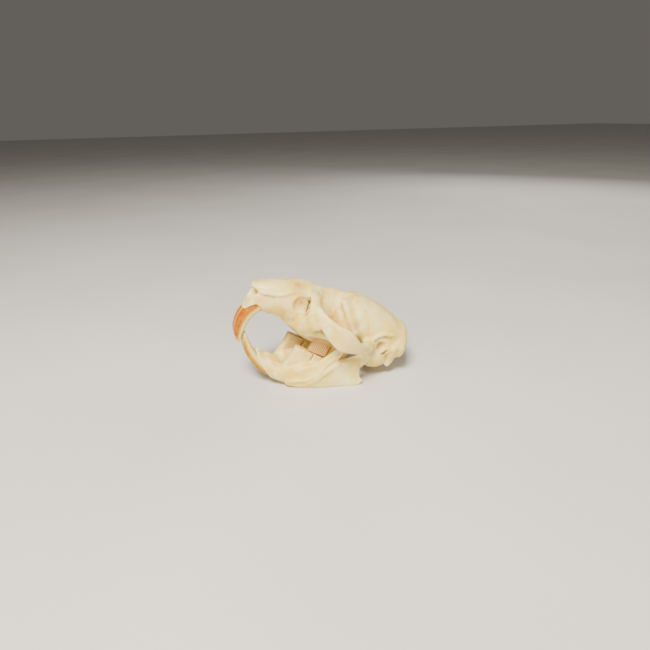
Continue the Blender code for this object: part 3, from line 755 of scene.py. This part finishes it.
    # Soft spots of each tint, on the animal's left side. The chalk spots on the arch and the nasals and along
    # the window's rim are painted highlight. The honey spots under the snout, in the orbit, above the molars
    # and under the ear, the rust spots above the molars, and the cavity spots in the window, behind the arch,
    # at the ear's slit and under its rim are painted shade. The amber patch on the roof, the seams and the
    # other spots are the bone's own tones and stains.
    tints: dict[str, Spots] = field(default_factory=lambda: {
        "chalk_and_highlight": (
            (24, -11.4, 14.5, 5, 0.8), (18.9, -9, 17.1, 3, 0.6), (14, -20, 8, 5, 0.7),
            (-12, -3, 15.5, 5, 0.6),
            *trail(((-2.3, -11.5, 16.5), (-0.9, -12.8, 14.4), (-1, -12.4, 11.8), (-1.6, -11, 9.6)), 0.9, 0.9),
        ),
        "straw": (
            (0.7, -14.4, 9.3, 4, 0.6), (34.3, -12.6, 9.3, 5, 0.7), (37, -9, 9, 6, 0.5),
            (14.6, -9.9, 14.9, 2, 0.7),
        ),
        "rose": (
            (-15.2, -4.7, 10.8, 3, 0.8), (-19, -3, 7, 1.8, 0.7), (-7.6, -5.9, 11.9, 3, 0.5),
            (12.4, -2.7, 17.5, 4, 0.6), (-1.6, -5.5, 12.7, 2.6, 0.8), (30.2, -12.4, 5.6, 1.8, 0.9),
            (10.6, -20.7, 9.6, 3, 0.3),
        ),
        "honey_and_shade": (
            (-4.4, -3.8, 18.5, 2.6, 0.95), (-7.2, -5.6, 8.5, 2.5, 0.5), (-2.7, -4.6, 4.2, 3, 0.5),
            (11.1, -3.9, 9.9, 3, 0.9), (12, -6.5, 9.4, 2.5, 0.9), (16.9, -11.6, 11.2, 2, 0.6),
            (6.5, -8.7, 4, 3.5, 0.95), (9.7, -9, 3.2, 3, 0.95), (33.3, -12.2, 2, 1.2, 0.6),
            (13.8, -20.8, 7.7, 3, 0.25),
            *trail(((12.6, -7.5, 18.2), (19.8, -0.5, 19.4)), 0.35, 0.5),
            *trail(((20, -1, 19.4), (20, -9.6, 16.8), (22.7, -11.9, 11.3), (23.5, -11.8, 8)), 0.35, 0.45),
            *trail(((35.2, 0, 15.6), (34.6, -8, 14.4), (34.9, -12.0, 10.4)), 0.35, 0.5),
        ),
        "molar_wall_shade": (
            (6, -9, 1.5, 3, 0.5), (1.3, -6.1, 2.2, 2, 0.9),
            *trail(((3.5, -7.6, 1), (14, -8.6, -0.6)), 0.8, 0.7),
        ),
        "crevice_shade_and_seam": (
            *trail(((1, -5.2, 14), (1.4, -5, 12.4), (1, -5.5, 10.6)), 0.6, 0.8), (-1.5, -5.1, 13, 0.6, 0.6),
            (0, -5.2, 12.9, 0.5, 0.6), (0.3, -5.3, 11.2, 0.5, 0.5),
            (21, -10, 6, 1.8, 0.8), (31.8, -12.4, 3.4, 0.8, 0.9),
            *trail(((26.2, -13, 7), (28, -12.6, 8.5), (29.8, -12.6, 9.4), (32.2, -12.6, 9.4)), 0.6, 0.6),
            *trail((
                (-18.4, -2.7, 13.7), (-17.4, -3.7, 12.9), (-15.8, -4.6, 12.5), (-11.6, -5.4, 12.8),
            ), 0.35, 0.7),
            *trail(((-17.4, 0, 15.3), (-14, 0, 16.5), (-8, 0, 18), (-1, 0, 19.3), (12, 0, 19.2)), 0.4, 0.5),
        ),
    })

    def clay(self, incisor: Rows) -> Clay:
        """Melts the bone together and carves it.

        Args:
            incisor: The upper incisor's stations, whose socket is left open.

        Returns:
            The block of voxels.
        """
        clay = Clay(*self.block, self.voxel)
        clay.add([limb(self.snout, power=2.4, bulge=0.45), limb(self.nasals, power=2.2)], 1.2)
        clay.add([limb(self.orbit_wall, power=2.5), limb(self.palate, power=3.0)], 1.2)
        clay.add(limb(self.maxilla).pair(), 1.2)
        clay.add(limb(self.molar_web).pair() + limb(self.plate_skin).pair(), 2.0)
        clay.add([limb(self.braincase, power=2.5, sides=64, bulge=0.35)], 1.4)
        clay.add([limb(self.base, power=3.0, bulge=0.5), limb(self.back, power=2.5, bulge=0.5)], 1.2)
        clay.add(limb(self.cheek_plate).pair() + limb(self.cheek_root).pair(), 1.2)
        clay.add(limb(self.cheek_wall).pair() + limb(self.arch, rings=60, power=2.4).pair(), 0.8)
        clay.add(limb(self.socket_root).pair() + limb(self.orbit_crest).pair(), 2.2)
        clay.add(ball(*self.neck_side).pair(), 1.6)
        clay.add([limb(self.neck_crest, rings=60), limb(self.ridge)] + limb(self.wing).pair(), 1.0)
        clay.add(limb(self.neck_spur).pair() + limb(self.ear_tube, bulge=0.2).pair(), 1.0)
        clay.add([limb(self.nose_lip, up=FORWARD)], 0.6)
        clay.add(limb(self.ear_rim).pair() + limb(self.side_ridge).pair(), 0.9)
        clay.add(ball(*self.ear_bulb).pair(), 0.7)
        clay.add(ball(*self.neck_knob).pair(), 0.8)
        clay.roughen(0.10, 9.0)
        clay.carve([limb(self.nostril), limb(self.spine_hole), limb(self.palate_trough)], 0.5)
        clay.carve(limb(self.cheek_window).pair() + ball(*self.window_pocket).pair(), 0.3)
        clay.carve(limb(self.window_slit, up=OUT).pair() + limb(self.palate_slit).pair(), 0.3)
        clay.carve(limb(self.arch_cut, up=OUT).pair() + [limb(self.nose_notch), limb(self.nose_front)], 0.4)
        clay.carve(ball(*self.ear_dish).pair() + limb(self.ear_slit, up=OUT).pair(), 0.2)
        clay.carve(limb(self.ear_groove).pair() + limb(self.nose_seam).pair(), 0.3)
        clay.carve(limb(incisor, up=FORWARD, power=INCISOR_SQUARE, ease=SOCKET_ROOM).pair(), 0.3)
        return clay

    def build(self, incisor: Rows) -> Piece:
        """The finished bone, standing for all the upper skull's bone nodes."""
        clay = self.clay(incisor)
        body = clay.surface()
        piece = new_piece("skull_bone", body, bone_tints(clay, body, self.tints), skull_matrix(), self.finish)
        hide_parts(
            "rostrum", "cranium", "occiput", "zygomatic_arch_left", "zygomatic_arch_right",
            "auditory_bulla_left", "auditory_bulla_right",
        )
        return piece


def bone_tints(clay: Clay, body: Body, spots: dict[str, Spots]) -> dict[str, Array]:
    """The point attributes that the bone finish reads.

    Args:
        clay: The block that the surface was read from.
        body: The surface.
        spots: Soft spots by the name of their colour, listed on the animal's left side.

    Returns:
        Values by attribute name.
    """
    near = clay.read(clay.fill(EDGE_REACH), body.points)
    far = clay.read(clay.fill(HOLLOW_REACH), body.points)
    points = body.points.copy()
    points[:, 1] = -np.abs(points[:, 1])
    values = {name: spread(points, spots.get(name, ())) for name in TINTS}
    # Painted highlight: lighter on thin edges and ridges.
    values["chalk_and_highlight"] = np.maximum(values["chalk_and_highlight"], 0.7 * eased(-near, -0.46, -0.30))
    # Painted shade: honey in wide hollows.
    values["honey_and_shade"] = np.maximum(values["honey_and_shade"], 0.85 * eased(far, 0.54, 0.76))
    # Painted shade: dark brown in small pits and crevices.
    values["crevice_shade_and_seam"] = np.maximum(values["crevice_shade_and_seam"], 0.8 * eased(near, 0.60, 0.85))
    return values


@dataclass
class LowerJaw:
    """One half of the lower jaw, given on the left and mirrored for the right."""

    finish: DryBone
    voxel: float = 0.25
    block: Rows = ((-19, -17, -1), (24, 2, 22))  # the corners of the block of voxels
    rear_bay: Rows = ((19.9, -14.0, 4.2), (2.1, 3.0, 2.3))  # a ball's middle and radii
    chips: Rows = ((-15.4, -1.4, 12), (-12.6, -2.6, 9.7))
    chip_radii: tuple[float, float, float] = (0.5, 0.5, 0.35)
    body: Rows = (
        (-16.1, -2, 11.4, 1.4, 0.9), (-15.1, -2.2, 9.2, 2, 1.8), (-13.6, -2.5, 7.1, 2.6, 3.1),
        (-11.2, -3.2, 5.5, 3.1, 3), (-8.6, -4.4, 4.5, 3.2, 3.1), (-5.2, -5.8, 4.6, 3.5, 4.3),
        (-0.5, -7.2, 4.6, 3.8, 4.6), (5.5, -8.8, 4.2, 3.2, 4.2), (11, -10.7, 3.6, 1.8, 3.2),
        (15, -12.2, 5.4, 1.2, 2.9),
    )
    sheath: Rows = ((-7.7, -5.4, 6.4, 1.8, 1.3), (-6.1, -6, 9, 1.7, 1.1), (-4.8, -6.3, 11.2, 1.5, 0.8))
    angle: Rows = (
        (-6.8, -8, 2, 1.2, 1.3), (-3, -9.8, 2.3, 1.1, 2.3), (1.5, -11.6, 3.2, 1, 3.2),
        (8, -13, 4.2, 0.8, 4.3), (13.5, -13.8, 4.7, 0.7, 4.9), (17.2, -14.2, 5, 0.65, 4.6),
    )
    hook: Rows = ((14, -14, 1.5, 0.8, 1.9), (17, -14.4, 1.1, 0.6, 1.1), (18.2, -14.6, 1.5, 0.4, 0.6))
    hook_tip: Rows = ((17.4, -14.4, 1.3, 0.45, 0.6), (19, -14.6, 1.9, 0.15, 0.2))
    crest: Rows = (
        (-6.2, -9.7, 3, 0.6, 0.6), (-1, -11.6, 3.7, 0.7, 0.6), (2.6, -12.6, 5.5, 0.7, 0.6),
        (6, -13, 9, 0.6, 0.6), (11, -13.6, 12.3, 0.5, 0.5),
    )
    crest_groove: Rows = (
        (0.4, -12.8, 6.6, 0.5, 0.5), (3.6, -13, 8.8, 0.6, 0.6), (7.4, -13.6, 12, 0.5, 0.5),
        (9.8, -13.9, 13.8, 0.4, 0.4),
    )
    hinge: Rows = (
        (8, -12, 7, 1.1, 2.8), (13.5, -12.8, 7.6, 1, 2.6), (17.6, -13.3, 8.6, 1, 2.6),
        (20.2, -13.6, 10.2, 1.2, 1.8), (21.2, -13.6, 11.2, 1.4, 1),
    )
    horn: Rows = (
        (-1.5, -9.8, 6.4, 1.1, 1.6), (4, -11.1, 7.9, 1.1, 1.9), (8.6, -12.2, 11, 0.95, 1.9),
        (11.4, -13, 14.2, 0.8, 1.4), (13.2, -13.5, 17, 0.7, 1), (15, -13.8, 18.6, 0.6, 0.7),
    )
    ridge: Rows = (
        (-3, -9.6, 1.8, 1, 1.1), (0.8, -11.6, 2.9, 1.1, 1), (5.7, -12.9, 6.2, 1.1, 1),
        (10, -13.3, 9, 1, 0.9),
    )
    tints: dict[str, Spots] = field(default_factory=lambda: {
        "chalk_and_highlight": ((12, -13, 4, 5, 0.6), (-13, -3, 9, 2.5, 0.6)),
        "straw": ((-0.2, -11.1, 8, 3.5, 0.8), (-4.7, -9.7, 5.7, 3, 0.8), (0, -8, 6, 5, 0.5)),
        "rose": ((-13.8, -5.3, 6.6, 2.2, 0.8), (-7.2, -9, 3, 3, 0.6), (-2, -5, 9, 2.5, 0.5)),
        "honey_and_shade": ((-13.9, -4.6, 5.0, 1.1, 0.8), (12, -12, 8, 2, 0.25)),
    })

    def build(self, incisor: Rows) -> list[Piece]:
        """Both halves, each standing for its node, with the incisor's socket left open."""
        clay = Clay(*self.block, self.voxel)
        clay.add([limb(self.body, rings=60, power=2.3)], 1.0)
        clay.add([limb(self.sheath), limb(self.angle), limb(self.hinge), limb(self.horn)], 1.2)
        clay.add([limb(self.ridge), limb(self.hook)], 0.9)
        clay.add([limb(self.crest), limb(self.hook_tip)], 0.7)
        clay.add([ball(at, self.chip_radii) for at in self.chips], 0.6)
        clay.roughen(0.08, 8.0)
        clay.carve([ball(*self.rear_bay), limb(self.crest_groove)], 0.4)
        clay.carve([limb(incisor, up=FORWARD, power=INCISOR_SQUARE, ease=SOCKET_ROOM)], 0.3)
        # The root end once more, moved forward, outward and down, which bares the enamel's face.
        bared = tuple((x - 0.9, y - 1.1, z - 0.6, wide, deep) for x, y, z, wide, deep in incisor[:3])
        clay.carve([limb(bared, up=FORWARD, power=INCISOR_SQUARE)], 0.3)
        x, y, z = clay.axes()
        clay.field = np.maximum(clay.field, np.maximum(-z, y + 0.1) + 0 * x).astype(np.float32)
        body = clay.surface()
        tints = bone_tints(clay, body, self.tints)
        pieces = []
        for side, half in zip(("left", "right"), body.pair()):
            piece = new_piece(f"mandible_bone_{side}", half, tints, jaw_matrix(), self.finish)
            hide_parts(f"mandible_{side}")
            pieces.append(piece)
        return pieces


@dataclass
class Incisors:
    """A pair of gnawing teeth, each a curved bar with enamel on its front face and a chisel tip."""

    name: str
    finish: Enamel
    place: Matrix
    stations: Rows
    inner: float  # the sign of a section's cosine on the side that faces the other tooth

    def build(self) -> list[Piece]:
        """Both teeth, each standing for its node."""
        sides = 48
        body = limb(self.stations, rings=70, sides=sides, up=FORWARD, power=INCISOR_SQUARE)
        rings = (len(body.points) - 2) // sides
        turn = np.tile(2 * np.pi * np.arange(sides) / sides, rings)
        front = np.sin(turn)
        along = np.repeat(np.linspace(0, 1, rings), sides)
        enamel = eased(front, -0.14, -0.02)
        inside = eased(self.inner * np.cos(turn), 0.2, 0.5)
        # The pale rim is painted highlight along the enamel's edges; it also pales the enamel towards the
        # tip.
        outer_rim = np.exp(-(((front - 0.04) / 0.10) ** 2))
        inner_rim = inside * np.exp(-(((front - 0.78) / 0.10) ** 2))
        rim_highlight = 0.8 * np.maximum(np.maximum(outer_rim, inner_rim), eased(along, 0.74, 0.86))
        tip = eased(along, 0.84, 0.93)
        tints = {
            name: np.append(values, [values[0], values[-1]])
            for name, values in (("enamel", enamel), ("rim_highlight", rim_highlight), ("tip", tip))
        }
        pieces = []
        for side, half in zip(("left", "right"), body.pair()):
            piece = new_piece(f"{self.name}_tooth_{side}", half, tints, self.place, self.finish)
            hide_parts(f"{self.name}_{side}")
            pieces.append(piece)
        return pieces


@dataclass
class CheekTeeth:
    """A row of three folded cheek teeth, made on the left and mirrored.

    The folds are fine upright ribs. They are strongest at the chewing edge and sink into a smooth wall
    further down, and the front of the first tooth has none.
    """

    name: str
    finish: RidgedTooth
    at: tuple[float, float, float]
    splay: float  # degrees that the row turns outwards to the back
    tall: float
    direction: float  # 1 where the tooth grows up from its chewing edge, -1 where it grows down
    fade: tuple[float, float] = (1.8, 3.4)  # how far from the chewing edge the ribs start and end to sink in
    shaded: tuple[float, float] = (0.0, 0.15)  # how much painted shade darkens the left row and the right row
    lean: float = 30.0  # degrees that the row slopes down to the back
    half_width: float = 1.6
    valley: float = 0.74  # a groove's half width as a share of a ridge's
    bare: float = 0.34  # the share of the first tooth's length that has no ribs
    teeth: Rows = ((-0.7, 7.2, 10), (6.7, 3.6, 5), (10.5, 3.0, 4))  # start, length and ridges of each tooth

    def outline(self, start: float, length: float, folds: float) -> tuple[Array, Array, Array]:
        """One tooth from above.

        Each side is half a width times a rounded triangle wave, |cos|^0.7 between the valley and 1, with the
        tongue side half a fold behind the cheek side. Both are drawn in at the tooth's two ends.

        Args:
            start: Where the tooth begins along the row.
            length: Its length.
            folds: How many ridges each side has.

        Returns:
            The place along the row, the offset across it, and how deep in a groove each point is.
        """
        u = np.linspace(0, 1, FOLD_POINTS * int(folds))
        ends = np.sqrt(np.clip(1 - np.abs(2 * u - 1) ** 7, 0, 1)) + 0.05
        smooth = self.bare * self.teeth[0][1]
        folded = eased(start + length * u, smooth - 1.2, smooth + 0.4)
        place, across, groove = [], [], []
        for side, shift, way in ((-1, 0.0, 1), (1, 0.5, -1)):
            dip = (1 - np.abs(np.cos(np.pi * (folds * u - 0.45 + shift))) ** 0.7) * folded
            place.append((start + length * u)[::way])
            across.append((side * self.half_width * ends)[::way])
            groove.append(dip[::way])
        return np.concatenate(place), np.concatenate(across), np.concatenate(groove)

    def build(self) -> list[Piece]:
        """Both sides' rows."""
        lean, splay = math.radians(self.lean), math.radians(self.splay)
        along = np.array((
            math.cos(lean) * math.cos(splay), -math.sin(splay), -math.sin(lean) * math.cos(splay),
        ))
        across = np.cross((math.sin(lean), 0, math.cos(lean)), along)
        across /= np.linalg.norm(across)
        crown = np.cross(along, across)
        rise = np.concatenate([[0.12, 0.0], np.linspace(0.12, self.tall, 20)])
        inset = np.concatenate([[0.72, 0.93], np.ones(20)])[:, None]
        ribs = 1 - eased(rise, *self.fade)[:, None]
        points, quads, tris, grooves, count = [], [], [], [], 0
        for start, length, folds in self.teeth:
            r, y, groove = self.outline(start, length, folds)
            middle = start + length / 2
            wide = y * (1 - (1 - self.valley) * groove * ribs) * inset
            rings = (
                np.array(self.at)
                + along * (middle + (r - middle) * (0.5 + 0.5 * inset))[..., None]
                + across * wide[..., None]
                + crown * (self.direction * rise)[:, None, None]
            )
            way = 1 if self.direction < 0 else -1
            tooth = tube(rings[:, ::way])
            points.append(tooth.points)
            quads.append(tooth.quads + count)
            tris.append(tooth.tris + count)
            grooves.append(np.append((groove * ribs)[:, ::way], [0, 0]))
            count += len(tooth.points)
        body = Body(np.vstack(points), np.vstack(quads), np.vstack(tris))
        groove = eased(np.concatenate(grooves), 0.35, 0.85)
        pieces = []
        for side, half, side_shade in zip(("left", "right"), body.pair(), self.shaded):
            # Painted shade: tan in the grooves between folds, and dark brown over the whole row by its side's
            # share.
            tints = {"groove": 0.85 * groove, "side_shade": side_shade + 0 * groove}
            pieces.append(new_piece(f"{self.name}_{side}", half, tints, jaw_matrix(), self.finish))
        return pieces


@dataclass
class Studio:
    """The photo's viewpoint, a pale floor and soft lights."""

    camera_at: tuple[float, float, float] = (-45.48, -158.1, 89.2)  # in millimetres
    heading: float = 16.5  # degrees that the view turns right of straight across the skull
    pitch: float = 23.2  # degrees that it looks down
    roll: float = 1.2
    focal_px: float = 488.0
    frame_px: float = 650.0
    sensor_mm: float = 36.0
    near_clip: float = 0.005
    aim: tuple[float, float, float] = (0.0, 0.0, 0.02)  # where the lights point
    sky: str = "#EEE8DE"
    sky_strength: float = 0.15
    floor_half: float = 3.0

    def camera(self) -> None:
        """Sets the camera from its heading, pitch and roll."""
        heading, pitch, roll = (math.radians(v) for v in (self.heading, self.pitch, self.roll))
        ahead = Vector((
            math.sin(heading) * math.cos(pitch), math.cos(heading) * math.cos(pitch), -math.sin(pitch),
        ))
        right = Vector((math.cos(heading), -math.sin(heading), 0))
        up = right.cross(ahead)
        right, up = right * math.cos(roll) - up * math.sin(roll), right * math.sin(roll) + up * math.cos(roll)
        data = bpy.data.cameras.new("camera")
        data.sensor_width = self.sensor_mm
        data.lens = data.sensor_width * self.focal_px / self.frame_px
        data.clip_start = self.near_clip
        camera = bpy.data.objects.new("camera", data)
        turn = Matrix((right, up, -ahead)).transposed().to_4x4()
        camera.matrix_world = Matrix.Translation(Vector(self.camera_at) * MM) @ turn
        bpy.context.scene.collection.objects.link(camera)
        bpy.context.scene.camera = camera

    def light(self, name: str, at: tuple[float, ...], size: float, power: float, colour: str) -> None:
        """A soft square light that faces the skull."""
        data = bpy.data.lights.new(name, "AREA")
        data.size = size
        data.energy = power
        data.color = linear(colour)[:3]
        lamp = bpy.data.objects.new(name, data)
        lamp.location = at
        lamp.rotation_euler = (Vector(self.aim) - Vector(at)).to_track_quat("-Z", "Y").to_euler()
        bpy.context.scene.collection.objects.link(lamp)

    def build(self) -> None:
        """Camera, lights, sky and floor."""
        self.camera()
        self.light("key", (-0.16, -0.26, 0.46), 0.16, 7.6, "#FFF8EA")
        self.light("fill", (-0.25, -0.55, 0.20), 0.50, 1.9, "#FFFAF0")
        self.light("back", (0.40, 0.35, 0.30), 0.35, 1.2, "#FFFCF6")
        world = bpy.data.worlds.new("studio")
        world.use_nodes = True
        background = world.node_tree.nodes["Background"].inputs
        background["Color"].default_value = linear(self.sky)
        background["Strength"].default_value = self.sky_strength
        bpy.context.scene.world = world
        mesh = bpy.data.meshes.new("floor")
        half = self.floor_half
        corners = [(-half, -half, 0), (half, -half, 0), (half, half, 0), (-half, half, 0)]
        mesh.from_pydata(corners, [], [(0, 1, 2, 3)])
        floor = bpy.data.objects.new("floor", mesh)
        bpy.context.scene.collection.objects.link(floor)
        mesh.materials.append(Paper().material())


@dataclass
class Paper(Finish):
    """Matt background paper, off-white, with hardly any tooth."""

    dull: str = "#CFCDC8"
    light: str = "#D5D3CF"

    def build(self, shader: bpy.types.Node) -> None:
        """Off-white with a slow, faint variation."""
        colour = self.mix(self.noise(90.0, 2.0, 0.3, 0.7), self.dull, self.light)
        self.plug(shader, {"Base Color": colour, "Roughness": 0.8})


UPPER_INCISOR: Rows = (
    (-15.9, -2.2, 7.4, 1.8, 1.9), (-18, -2.15, 4.6, 1.8, 2), (-19.2, -2.1, 0.8, 1.75, 1.95),
    (-19.3, -2, -3, 1.6, 1.5), (-18.6, -1.9, -6.4, 1.3, 0.5),
)
LOWER_INCISOR: Rows = (
    (-12.2, -2.6, 4.9, 1.4, 1.5), (-14.6, -2.3, 6.4, 1.5, 1.7), (-17, -2.1, 9.6, 1.5, 1.6),
    (-19, -1.8, 13.4, 1.45, 1.5), (-19.9, -1.6, 17.2, 1.3, 1.2), (-20.1, -1.5, 20.4, 1.1, 0.45),
)


def main() -> None:
    """Builds the studio, then each part of the skull in order."""
    logging.basicConfig(level=logging.INFO, format="%(name)s %(message)s")
    Studio().build()
    bone = DryBone()
    UpperSkull(bone).build(UPPER_INCISOR)
    LowerJaw(bone).build(LOWER_INCISOR)
    Incisors("upper_incisor", Enamel(Slot.UPPER), skull_matrix(), UPPER_INCISOR, 1.0).build()
    # The lower incisors' enamel is amber, with its own pale edge colour for the painted highlight.
    amber = Enamel(Slot.LOWER, bright="#BE8C00", deep="#A87000", edge="#E4BE38")
    Incisors("lower_incisor", amber, jaw_matrix(), LOWER_INCISOR, -1.0).build()
    # The upper rows' finish is a darker, browner copy of the cheek-tooth finish, painted shade of the cheek
    # arch above them, and the far upper row has more painted shade than the near one.
    shaded = RidgedTooth(wall="#EABE68", groove="#7C4812")
    CheekTeeth(
        "upper_cheek_teeth", shaded, (1.7, -6.4, 12.7), 4.0, 6.0, 1.0, (9.0, 12.0), (0.1, 0.6), bare=-0.5,
    ).build()
    CheekTeeth("lower_cheek_teeth", RidgedTooth(), (-2.6, -6.2, 14.7), 6.0, 7.5, -1.0).build()


if __name__ == "__main__":
    main()
